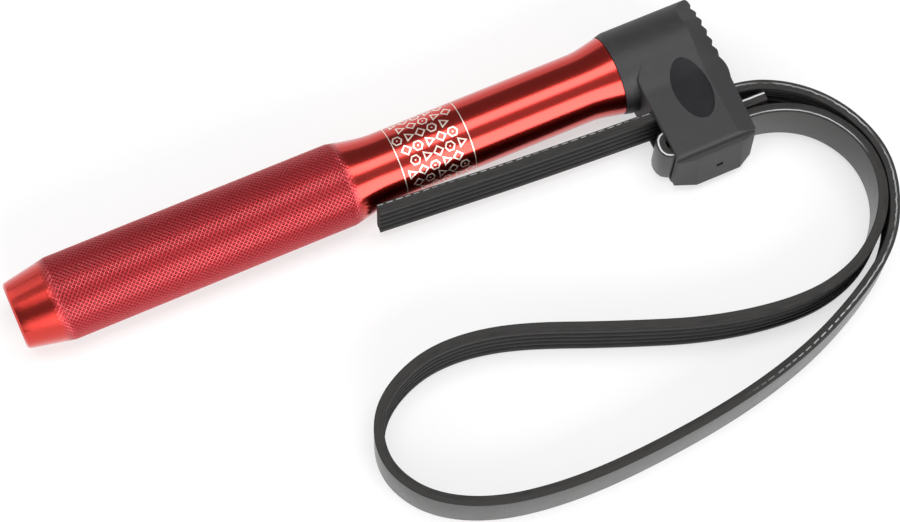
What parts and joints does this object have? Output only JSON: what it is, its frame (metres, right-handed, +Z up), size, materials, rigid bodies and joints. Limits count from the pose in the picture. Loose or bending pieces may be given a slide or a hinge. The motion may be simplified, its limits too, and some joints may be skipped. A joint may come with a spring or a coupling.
{
  "type": "strap wrench",
  "caption": "Strap wrench: a knurled bar handle with a toothed plastic head and a ribbed rubber belt that loops round a pulley or sprocket.",
  "frame": {"origin": "on the surface that the tool lies on, under the middle of its bounding box", "axes": "+X along the handle from the butt to the head, +Y from the strap's loop towards the handle, +Z up"},
  "size_m": [0.2974, 0.1494, 0.0304],
  "materials": {
    "anodised_red": "anodised red, polished on the waist and knurled on the grip",
    "black_plastic": "satin moulded, slightly grained",
    "ribbed_rubber": "moulded rubber with a woven-cord back",
    "zinc_steel": "zinc plated",
    "plain_brass": "turned"
  },
  "bodies": {
    "root": {"handle_bar": "anodised_red", "head_body": "black_plastic", "strap_loop": "ribbed_rubber", "strap_fold": "ribbed_rubber", "joining_stud": "zinc_steel", "threaded_insert": "plain_brass"},
    "strap_end": {"strap_tail": "ribbed_rubber"}
  },
  "joints": [
    {"name": "strap_draw", "type": "slide", "parent": "root", "child": "strap_end", "axis": [-1, 0, 0], "range_m": [0, 0.12]}
  ]
}
